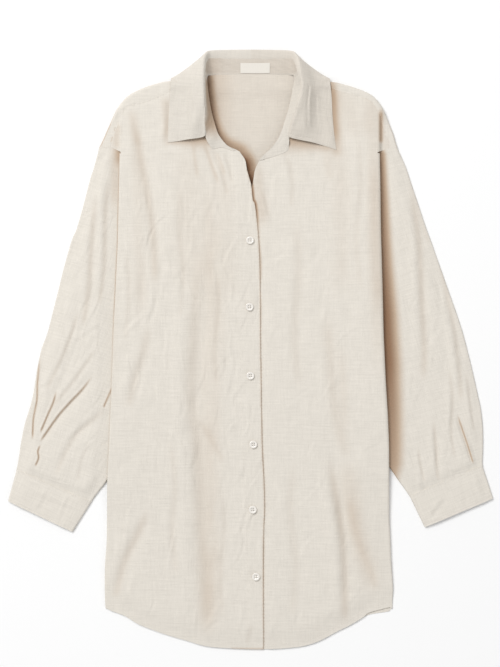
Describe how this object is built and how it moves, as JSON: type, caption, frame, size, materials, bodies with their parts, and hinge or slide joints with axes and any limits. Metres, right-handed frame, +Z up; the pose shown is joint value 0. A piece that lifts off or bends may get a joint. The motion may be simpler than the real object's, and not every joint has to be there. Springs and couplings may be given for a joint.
{
  "type": "linen shirt",
  "caption": "Linen shirt laid flat on its back: pointed collar turned down, buttoned front, long sleeves with cuffs lying down at its sides, curved hem.",
  "frame": {"origin": "middle of the shirt's outline, on the surface it lies on", "axes": "+Y towards the collar, +X to the right as the front is seen from above, +Z up out of the front"},
  "size_m": [0.7024, 0.8678, 0.0295],
  "materials": {
    "linen": "woven, matte",
    "pearl": "pearly gloss",
    "label": "woven tape"
  },
  "bodies": {
    "root": {"back": "linen", "yoke": "linen", "front_left": "linen", "front_right": "linen", "sleeve_left": "linen", "sleeve_right": "linen", "cuff_left": "linen", "cuff_right": "linen", "collar_stand": "linen", "collar_leaf": "linen", "label": "label", "button_1": "pearl", "button_2": "pearl", "button_3": "pearl", "button_4": "pearl", "button_5": "pearl", "button_6": "pearl", "cuff_button_left": "pearl", "cuff_button_right": "pearl"}
  },
  "joints": []
}
